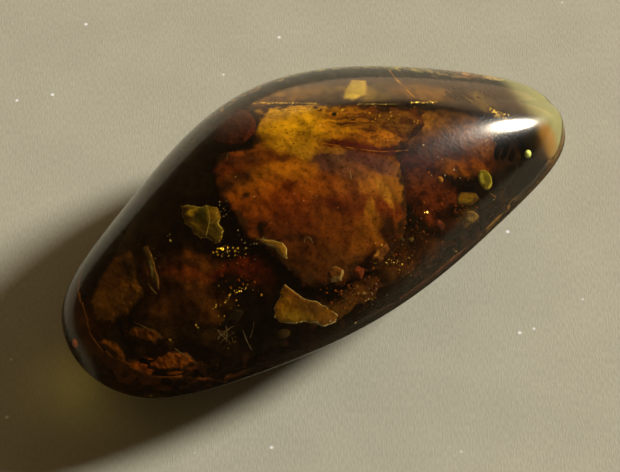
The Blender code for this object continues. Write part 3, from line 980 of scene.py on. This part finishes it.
def crumb_model(subdivisions):
    """One crumb: a ball with its corners pulled about."""
    bpy.ops.object.select_all(action="DESELECT")
    bpy.ops.mesh.primitive_ico_sphere_add(subdivisions=subdivisions, radius=1.0)
    model = bpy.context.object
    bpy.ops.object.mode_set(mode="EDIT")
    bpy.ops.mesh.select_all(action="SELECT")
    bpy.ops.transform.vertex_random(offset=0.28, seed=3)
    bpy.ops.object.mode_set(mode="OBJECT")
    return model


def scattered(name, model, placings):
    """Copies of one model at each placing, a place, three sizes and a turn, joined to one piece."""
    corners = np.array([corner.co for corner in model.data.vertices])
    faces = np.array([face.vertices[:] for face in model.data.polygons])
    all_corners, all_faces = [], []
    for number, (place, sizes, turn) in enumerate(placings):
        rotation = np.array(turn.to_matrix())
        all_corners.append(((corners * sizes) @ rotation.T + np.array(place)) * MM)
        all_faces.append(faces + number * len(corners))
    mesh = bpy.data.meshes.new(name)
    mesh.from_pydata(np.concatenate(all_corners).tolist(), [], np.concatenate(all_faces).tolist())
    piece = bpy.data.objects.new(name, mesh)
    bpy.context.collection.objects.link(piece)
    bpy.data.objects.remove(model)
    print(name, len(placings), "pieces,", len(mesh.polygons), "faces")
    return piece


def turned_to(way, spread):
    """A turn that lays a flat crumb square to a direction, give or take the spread."""
    wander = Vector([draw.gauss(0.0, spread) for _ in range(3)])
    return (way + wander).normalized().to_track_quat("Z", "Y")


def any_turn():
    return turned_to(Vector((0.0, 0.0, 0.0)), 1.0)


def plain_finish(name, paint, other_paint, place, roughness=0.5):
    """A finish whose colour wanders between two paints from crumb to crumb."""
    material, tree, shader = new_finish(name, roughness)
    share = ranged(tree, grain(tree, place_in_mm(tree), PAINT_GRAIN, detail=2.0).outputs["Fac"], 0.40, 0.60)
    mixed = laid_over(tree, seen_as(paint, place), seen_as(other_paint, place), share)
    tree.links.new(mixed, shader.inputs["Base Color"])
    return material


# %% [markdown]
# ## The crust along the rims, with painted shade
# Seen through its steep sides, the pebble is dark, with a thin strip of brown, orange and olive along the far
# rim. What lies there can't be made out, and clear resin alone would let the lit floor through. So the lower
# half is lined with a dark crust a little inside the skin, which is bark dust and also painted shade over
# the floor under the pebble. It is a bowl, made as the skin is from a ball that stays open at the top, then
# thickened. Its upper edge wanders, and the pointed end stays free.

# %% Crust
CRUST_SEGMENTS, CRUST_RINGS = 240, 160
CRUST_SHARE = 0.955
CRUST_THICKNESS = 0.3
CRUST_END = 0.87
CRUST_TOP, CRUST_WANDER = 0.14, 0.06
CRUST_END_RISE, CRUST_RISE_FROM = 0.5, 0.6
CRUST_WAVES = (3.0, 7.0, 16.0)
NEAR_STRENGTH, FAR_STRENGTH = 0.45, 0.20
# Near side and round end: the near-black paints are painted shade over the floor under the pebble.
CRUST_AND_SHADE_NEAR = (
    (-30.0, (10, 5, 2)), (-24.0, (50, 22, 3)), (-19.0, (56, 24, 3)), (-15.0, (10, 6, 2)),
    (-4.0, (12, 8, 4)), (4.0, (38, 17, 5)), (12.0, (48, 23, 7)), (17.0, (80, 50, 9)),
    (20.0, (26, 17, 5)), (24.0, (18, 13, 6)), (26.0, (84, 50, 10)),
)
CRUST_FAR = (
    (-22.0, (8, 4, 2)), (-14.0, (26, 14, 5)), (-6.0, (62, 34, 11)), (0.0, (96, 60, 22)),
    (8.0, (104, 86, 38)), (15.0, (124, 100, 34)), (19.0, (80, 58, 26)), (22.0, (118, 72, 24)),
    (25.0, (140, 110, 52)),
)
CRUST_TURN = (-1.0, 3.5)


def crust_height(turn, along):
    """How far up the ball the crust reaches, round the pebble."""
    wander = sum(math.sin(waves * turn + waves) for waves in CRUST_WAVES) / len(CRUST_WAVES)
    return CRUST_TOP + CRUST_WANDER * wander + CRUST_END_RISE * max(0.0, -along - CRUST_RISE_FROM)


def past_crust(place):
    """Whether a place on the ball lies above the crust's upper edge or beyond its end."""
    top = crust_height(math.atan2(place.y, place.x), place.x)
    return place.z > top or place.x > CRUST_END + 0.5 * (top - CRUST_TOP)


def add_crust_and_shade():
    """The open bowl, thickened inwards."""
    bpy.ops.object.select_all(action="DESELECT")
    bpy.ops.mesh.primitive_uv_sphere_add(segments=CRUST_SEGMENTS, ring_count=CRUST_RINGS, radius=1.0)
    crust_and_shade = bpy.context.object
    crust_and_shade.name = "rim_crust_and_shade"
    bpy.ops.object.mode_set(mode="EDIT")
    bpy.ops.mesh.select_mode(type="VERT")
    bpy.ops.mesh.select_all(action="DESELECT")
    bpy.ops.object.mode_set(mode="OBJECT")
    for corner in crust_and_shade.data.vertices:
        corner.select = past_crust(corner.co)
    bpy.ops.object.mode_set(mode="EDIT")
    bpy.ops.mesh.delete(type="VERT")
    bpy.ops.object.mode_set(mode="OBJECT")
    ball = np.array([corner.co for corner in crust_and_shade.data.vertices])
    places = skin_places(ball)
    middle = np.array([0.0, 0.0, GIRDLE_HEIGHT * MM])
    places = middle + (places - middle) * CRUST_SHARE
    crust_and_shade.data.vertices.foreach_set("co", places.ravel())
    crust_and_shade.data.update()
    thicken = crust_and_shade.modifiers.new("thicken", "SOLIDIFY")
    thicken.thickness = CRUST_THICKNESS * MM
    apply_all(crust_and_shade)
    bpy.ops.object.shade_smooth()
    return crust_and_shade


def along_stops(tree, place, stops, strength):
    """A paint that changes along the pebble from stop to stop."""
    split = tree.nodes.new("ShaderNodeSeparateXYZ")
    tree.links.new(place, split.inputs[0])
    ground = shown_as(stops[0][1], strength)
    for (start, _), (stop, paint) in zip(stops, stops[1:]):
        share = ranged(tree, split.outputs["X"], start, stop)
        ground = laid_over(tree, ground, shown_as(paint, strength), share)
    return ground, split.outputs["Y"]


def crust_and_shade_finish():
    material, tree, shader = new_finish("rim_crust_and_shade", 0.6)
    place = place_in_mm(tree)
    drawn = ragged(tree, place, 1.6, 2.4)
    near, across = along_stops(tree, drawn, CRUST_AND_SHADE_NEAR, NEAR_STRENGTH)
    far, _ = along_stops(tree, drawn, CRUST_FAR, FAR_STRENGTH)
    paint = laid_over(tree, near, far, ranged(tree, across, *CRUST_TURN))
    paint = mottled(tree, place, paint, 1.2, 0.32, 0.60, 0.55)
    paint = mottled(tree, place, paint, 0.3, 0.30, 0.58, 0.65)
    tree.links.new(paint, shader.inputs["Base Color"])
    return material


# The crust is bark dust, and painted shade over the floor under the pebble.
crust_and_shade = settle(add_crust_and_shade(), crust_and_shade_finish())
print("crust faces:", len(crust_and_shade.data.polygons))

# %% [markdown]
# ## Shreds along the rims
# A crust alone would be too even. So dark shreds of bark lie along the skin of the near side and the round
# end, bark and also painted shade over the floor beneath, and under the far rim lie shreds in brown, orange
# and olive, the colours of the strip that shows there.

# %% Shreds
SHRED_DEPTHS = (0.35, 1.6)
SHRED_STRENGTH = 0.75
UPWARD = Vector((0.0, 0.0, 1.0))
SHRED_CLEARANCE = 0.25
SKIN_FACES = [(face.center.copy() / MM, face.normal.copy()) for face in skin.data.polygons]


def shreds_along(count, longest, accepts, lying):
    """Flat shreds under the skin, where accepts allows. They lie along it, or more and more level."""
    placings = []
    while len(placings) < count:
        spot, outward = draw.choice(SKIN_FACES)
        if not accepts(spot, outward):
            continue
        place = spot - outward * draw.uniform(*SHRED_DEPTHS)
        length = draw.uniform(0.4, 1.0) * longest
        sizes = np.array([length, length * draw.uniform(0.5, 0.8), draw.uniform(0.05, 0.10)])
        turn = turned_to(outward.lerp(UPWARD, lying), 0.30)
        ends = [place + turn @ Vector((side * sizes[0], 0.0, 0.0)) for side in (-1.0, 1.0)]
        ends += [place + turn @ Vector((0.0, side * sizes[1], 0.0)) for side in (-1.0, 1.0)]
        if min(skin_depth(end) for end in ends) > SHRED_CLEARANCE:
            placings.append((place, sizes, turn))
    return placings


def near_rim(spot, outward):
    return 2.0 < spot.z < 8.5 and spot.x < 19.0 and (outward.y < 0.2 or spot.x < -8.0)


def far_rim(spot, outward):
    return 5.0 < spot.z < 13.0 and -8.0 < spot.x < 27.5 and outward.y > 0.45


NEAR_PLACE = Vector((0.0, -8.0, 0.0))
FAR_PLACE = Vector((4.0, 10.0, 0.0))
# Dark shreds along the near side and round end: bark, and painted shade over the floor beneath.
dark_shreds_and_shade = scattered("bark_shreds_and_shade", crumb_model(1), shreds_along(700, 1.1, near_rim, 0.0))
settle(dark_shreds_and_shade, plain_finish("bark_shreds_and_shade", (9, 4, 1), (30, 12, 3), NEAR_PLACE))
brown_shreds = scattered("brown_shreds", crumb_model(1), shreds_along(1500, 1.2, far_rim, 0.9))
far_finish, far_tree, far_shader = new_finish("brown_shreds", 0.6)
far_place = place_in_mm(far_tree)
far_paint, _ = along_stops(far_tree, ragged(far_tree, far_place, 1.6, 2.4), CRUST_FAR, SHRED_STRENGTH)
far_paint = mottled(far_tree, far_place, far_paint, 0.8, 0.32, 0.60, 0.5)
far_tree.links.new(far_paint, far_shader.inputs["Base Color"])
settle(brown_shreds, far_finish)

# %% [markdown]
# ## Crumbs on the flow surface
# Crumbs gather where the flow slowed down. Each field is a point of the picture with the field's two half
# sizes in millimetres.

# %% Crumb fields
# Each kind: paint, other paint, count, least and largest size, fields.
CRUMB_FIELDS = {
    "orange_crumbs": ((104, 46, 6), (60, 22, 4), 340, 0.03, 0.15, (
        ((430, 200), 3.5, 2.5), ((368, 286), 2.6, 1.3), ((240, 270), 3.0, 1.6), ((460, 215), 3.0, 1.5),
        ((405, 262), 3.0, 1.6), ((345, 298), 2.6, 1.0), ((425, 235), 2.6, 1.8),
    )),
    # Gold crumbs: real crumbs, and painted sparkle where the glints cluster.
    "gold_crumbs_and_glints": ((200, 146, 30), (150, 100, 16), 110, 0.03, 0.09, (
        ((300, 112), 5.0, 0.7), ((395, 118), 4.5, 1.2), ((228, 300), 2.4, 2.0), ((228, 252), 1.4, 0.5),
        ((500, 114), 1.0, 0.5), ((400, 262), 2.6, 1.0),
    )),
    "dark_crumbs": ((34, 14, 3), (56, 22, 5), 110, 0.03, 0.10, (
        ((290, 175), 6.0, 3.0), ((340, 250), 5.0, 2.0), ((430, 215), 5.0, 3.0), ((300, 130), 4.0, 1.5),
        ((470, 180), 3.0, 2.0), ((360, 300), 3.0, 1.2),
    )),
    "pale_crumbs": ((168, 140, 96), (130, 100, 64), 70, 0.03, 0.07, (
        ((290, 205), 7.0, 4.5), ((240, 248), 2.2, 1.2), ((224, 205), 1.0, 1.2), ((365, 292), 2.2, 1.0),
        ((440, 160), 5.0, 2.5), ((160, 250), 2.0, 2.5),
    )),
}
CRUMB_LIFTS = (0.5, 1.0)
CRUMB_CLEARANCE = 0.5


def on_flow(pixel, half_length, half_width):
    """A random place above the flow surface, round a point of the picture."""
    centre = seen_at(pixel, CRUMB_LIFTS[0])
    picture_far = Vector((-picture_right.y, picture_right.x, 0.0))
    while True:
        spot = centre + picture_right * draw.gauss(0.0, 0.5) * half_length
        spot += picture_far * draw.gauss(0.0, 0.5) * half_width
        spot.z = flow_height(spot.x, spot.y) + draw.uniform(*CRUMB_LIFTS)
        if skin_depth(spot) > CRUMB_CLEARANCE:
            return spot


for name, (paint, other_paint, count, least, most, fields) in CRUMB_FIELDS.items():
    placings = []
    for number in range(count):
        place = on_flow(*fields[number % len(fields)])
        size = least * (most / least) ** draw.random()
        sizes = np.array([size * draw.uniform(0.35, 1.9) for _ in range(3)])
        placings.append((place, sizes, any_turn()))
    middle = seen_at(fields[0][0])
    crumbs = scattered(name, crumb_model(1), placings)
    settle(crumbs, plain_finish(name, paint, other_paint, middle))

# %% [markdown]
# ## Glints
# Where a crack or a wing-thin scale lies just right, it throws the lamp back at us. Such glints are tiny flat
# plates of bright metal here, each turned half way between the lamp and the line of sight inside the amber.

# %% Glints
GLINT_DEPTH = 0.02
GLINT_COLOUR = (0.95, 0.62, 0.16, 1.0)
# Each row of glints: first and last point of the picture, count, wander in picture points, largest size.
GLINT_ROWS = (
    ((220, 250), (227, 248), 7, 2.2, 0.10),
    ((218, 252), (242, 257), 12, 4.0, 0.05),
    ((224, 301), (246, 286), 18, 4.0, 0.06),
    ((236, 293), (246, 289), 7, 2.5, 0.09),
    ((229, 321), (242, 315), 12, 3.2, 0.09),
    ((216, 328), (236, 342), 26, 6.0, 0.045),
    ((251, 103), (318, 103), 46, 0.6, 0.08),
    ((283, 111), (310, 109), 16, 0.7, 0.09),
    ((357, 104), (398, 104), 22, 0.6, 0.07),
    ((411, 103), (437, 102), 14, 0.8, 0.09),
    ((492, 111), (505, 120), 44, 6.0, 0.09),
    ((513, 118), (518, 122), 8, 1.2, 0.10),
    ((300, 122), (345, 132), 14, 5.0, 0.05),
    ((372, 140), (400, 140), 10, 1.0, 0.06),
    ((484, 140), (500, 134), 12, 3.0, 0.06),
    ((372, 262), (398, 262), 12, 3.0, 0.07),
    ((348, 286), (376, 302), 26, 8.0, 0.05),
    ((380, 250), (420, 275), 16, 9.0, 0.04),
    ((425, 212), (428, 213), 4, 0.8, 0.12),
    ((452, 196), (500, 200), 6, 5.0, 0.06),
    ((300, 185), (320, 200), 4, 6.0, 0.05),
    ((354, 323), (357, 322), 3, 0.8, 0.10),
    ((169, 340), (171, 341), 3, 1.0, 0.08),
    ((195, 324), (198, 328), 4, 1.2, 0.08),
    ((215, 304), (217, 308), 3, 1.0, 0.07),
    ((400, 275), (440, 262), 10, 4.0, 0.05),
    ((453, 249), (457, 252), 3, 1.0, 0.08),
)


def glint_placing(pixel, largest):
    """The place, sizes and turn of one glint."""
    _, _, ray = line_of_sight(pixel)
    place = seen_at(pixel, CRUMB_LIFTS[0])
    halfway = (key_direction - ray).normalized()
    size = largest * draw.uniform(0.35, 1.0)
    return place, np.array([size, size * draw.uniform(0.3, 0.8), GLINT_DEPTH]), turned_to(halfway, 0.10)


glints = []
for first, last, count, wander, largest in GLINT_ROWS:
    for number in range(count):
        share = (number + 0.5) / count
        pixel = [
            start + (end - start) * share + draw.gauss(0.0, 0.5) * wander
            for start, end in zip(first, last)
        ]
        glints.append(glint_placing(pixel, largest))
gold_metal, _, glint_shader = new_finish("glint", 0.5, 0.5)
glint_shader.inputs["Base Color"].default_value = GLINT_COLOUR
glint_shader.inputs["Metallic"].default_value = 1.0
settle(scattered("glints", crumb_model(1), glints), gold_metal)

# %% [markdown]
# ## Threads
# Hairs, veins and the bright edges of cracks are thin lines; the gold ones are painted glints where crack
# edges catch the lamp. Each is a curve through a few points of the picture, given a round section and then
# turned to mesh.

# %% Threads
THREAD_SIDES = 2


def threads(name, radius, lift, lines, material, depth=None):
    """Thin tubes through points of the picture, on the flow surface or at a depth under the skin."""
    data = bpy.data.curves.new(name, "CURVE")
    data.dimensions = "3D"
    data.bevel_depth = radius * MM
    data.bevel_resolution = THREAD_SIDES
    data.use_fill_caps = True
    for line in lines:
        spline = data.splines.new("NURBS")
        spline.points.add(len(line) - 1)
        for point, pixel in zip(spline.points, line):
            if depth is None:
                place = seen_at(pixel, lift)
            else:
                skin_place, _, ray = line_of_sight(pixel)
                place = skin_place + ray * depth
            point.co = (*(place * MM), 1.0)
        spline.order_u = 3
        spline.use_endpoint_u = True
    piece = bpy.data.objects.new(name, data)
    bpy.context.collection.objects.link(piece)
    select_only(piece)
    bpy.ops.object.convert(target="MESH")
    piece = bpy.context.object
    bpy.ops.object.shade_smooth()
    print(name, len(lines), "threads,", len(piece.data.polygons), "faces")
    return settle(piece, material)


PALE_HAIRS = (
    ((305, 243), (303.5, 239), (307, 236.5), (311, 238), (312.5, 243)),
    ((218, 338), (226, 330), (234, 326)),
    ((220, 343), (228, 335), (235, 333)),
    ((217, 330), (224, 337), (230, 343)),
    ((226, 326), (228, 334), (226, 342)),
    ((243, 330), (246, 341), (252, 350)),
    ((254, 322), (253, 330), (250, 338)),
    ((148, 283), (151, 289), (157, 294)),
    ((134, 322), (143, 326), (152, 331)),
    ((175, 348), (180, 353), (188, 358)),
    ((228, 153), (227, 158), (226, 161)),
    ((350, 171), (351, 176), (351, 179)),
)
VEINS = (
    ((206, 205), (210, 214), (209, 224), (206, 236)),
    ((209, 224), (215, 222), (219, 212)),
    ((256, 239), (268, 239), (283, 243), (287, 257)),
)
# Gold lines: painted glints, where crack edges catch the lamp.
GOLD_GLINT_LINES = (
    ((322, 143), (345, 147), (370, 151), (392, 152), (408, 150)),
    ((283, 111), (296, 110), (309, 109)),
    ((330, 119), (350, 123), (372, 121)),
    ((370, 138), (385, 139), (402, 139)),
    ((490, 193), (493, 196), (496, 197)),
)
CRACK = (((389, 70), (394, 78), (401, 85), (408, 92), (416, 99)), ((394, 78), (399, 81), (402, 85)))

hair_finish = plain_finish("hair", (96, 74, 44), (60, 42, 22), seen_at((235, 330)))
threads("pale_hairs", 0.02, 1.1, PALE_HAIRS, hair_finish)
vein_finish = plain_finish("vein", (104, 82, 34), (78, 54, 18), seen_at((240, 220)))
threads("pale_veins", 0.03, 1.15, VEINS, vein_finish)
glint_line_finish = plain_finish("gold_glint_line", (150, 84, 8), (80, 40, 6), seen_at((330, 125)))
threads("gold_glint_lines", 0.035, 0.8, GOLD_GLINT_LINES, glint_line_finish)
crack_finish = plain_finish("crack", (140, 84, 12), (84, 44, 6), FAR_PLACE)
threads("far_crack", 0.10, 0.0, CRACK, crack_finish, depth=0.9)

# %% [markdown]
# ## Round things
# A bubble catches the light like a bead. A small ball of amber, two seeds, a red drop and a flat spot of
# resin are as round. Each is a sphere, squashed where the real one is flat.

# %% Bubble, balls and seeds


def round_piece(name, pixel, lift, radius, paints, roughness=0.4, squash=1.0):
    place = seen_at(pixel, lift)
    bpy.ops.object.select_all(action="DESELECT")
    bpy.ops.mesh.primitive_uv_sphere_add(segments=32, ring_count=20, radius=radius * MM, location=place * MM)
    piece = bpy.context.object
    piece.name = name
    bpy.ops.object.mode_set(mode="EDIT")
    bpy.ops.transform.resize(value=(1.0, 0.92, squash))
    bpy.ops.object.mode_set(mode="OBJECT")
    bpy.ops.object.transform_apply()
    bpy.ops.object.shade_smooth()
    return settle(piece, plain_finish(f"{name}_finish", *paints, place, roughness))


round_piece("bubble", BUBBLE_PIXEL, BUBBLE_LIFT, 0.45, ((216, 208, 90), (186, 176, 60)), 0.25)
round_piece("amber_ball", (440, 180), 1.0, 0.38, ((128, 74, 14), (110, 60, 12)))
round_piece("red_dot", (76, 343), 0.3, 0.5, ((56, 20, 5), (40, 14, 4)))
round_piece("olive_seed", (411, 240), 0.9, 0.32, ((70, 50, 10), (52, 36, 8)), 0.5, 0.6)
round_piece("small_seed", (402, 240), 0.9, 0.26, ((58, 40, 8), (44, 30, 8)), 0.5, 0.6)
round_piece("resin_spot", (283, 334), 0.6, 0.75, ((30, 17, 3), (20, 11, 2)), 0.6, 0.3)

# %% [markdown]
# ## The milky tip
# The pointed end isn't quite clear, but pale and milky, and it gathers the lamp's light. A ball is moved into
# it as the skin was made, a little inside, and carries that colour: the haze's, with painted light that grows
# paler towards the end facing the lamp. Its form is a guess, for only the colour shows.

# %% Milky tip
TIP_MIDDLE, TIP_HALF, TIP_SHARE = 0.86, 0.11, 0.84
TIP_RISE = 0.2
TIP_INNER_PAINT, TIP_LIT_END_PAINT = (78, 60, 22), (134, 119, 58)
TIP_FADE = (22.5, 27.0)
TIP_SPOTS = (
    ((548, 150), (1.2, 1.6), -20.0, (150, 96, 26), 0.9),
    ((541, 166), (1.4, 1.2), -30.0, (100, 58, 12), 0.9),
)


def add_haze_and_light_tip():
    """A closed cloud in the pointed end: a ball whose points are moved as the skin's are, a little inside."""
    bpy.ops.object.select_all(action="DESELECT")
    bpy.ops.mesh.primitive_uv_sphere_add(segments=64, ring_count=40, radius=1.0)
    tip = bpy.context.object
    tip.name = "haze_and_light_tip"
    unit = np.array([corner.co for corner in tip.data.vertices])
    along = TIP_MIDDLE + TIP_HALF * unit[:, 2]
    radius = TIP_SHARE * np.sqrt(1.0 - along**2)
    ball = np.column_stack((along, radius * unit[:, 0], radius * unit[:, 1]))
    places = skin_places(ball)
    places[:, 2] += TIP_RISE * MM
    tip.data.vertices.foreach_set("co", places.ravel())
    tip.data.update()
    bpy.ops.object.shade_smooth()
    return tip


haze_and_light_tip = add_haze_and_light_tip()
tip_material, tip_tree, tip_shader = new_finish("haze_and_light_tip", 0.6)
on_tip = place_in_mm(tip_tree)
tip_place = seen_at((545, 120))
tip_split = tip_tree.nodes.new("ShaderNodeSeparateXYZ")
tip_tree.links.new(ragged(tip_tree, on_tip, 2.0, 1.0), tip_split.inputs[0])
# Paler towards the end that faces the lamp: painted light over the haze's colour.
lit_end_share = ranged(tip_tree, tip_split.outputs["X"], *TIP_FADE)
tip_inner, tip_lit_end = seen_as(TIP_INNER_PAINT, tip_place), seen_as(TIP_LIT_END_PAINT, tip_place)
tip_ground = laid_over(tip_tree, tip_inner, tip_lit_end, lit_end_share)
tip_paint = spotted(tip_tree, on_tip, tip_ground, 0.0, TIP_SPOTS)
tip_tree.links.new(mottled(tip_tree, on_tip, tip_paint, 2.0, 0.3, 0.7, 0.92), tip_shader.inputs["Base Color"])
settle(haze_and_light_tip, tip_material)
print("milky tip from", round(HALF_LENGTH * (TIP_MIDDLE - TIP_HALF), 1), "mm on")
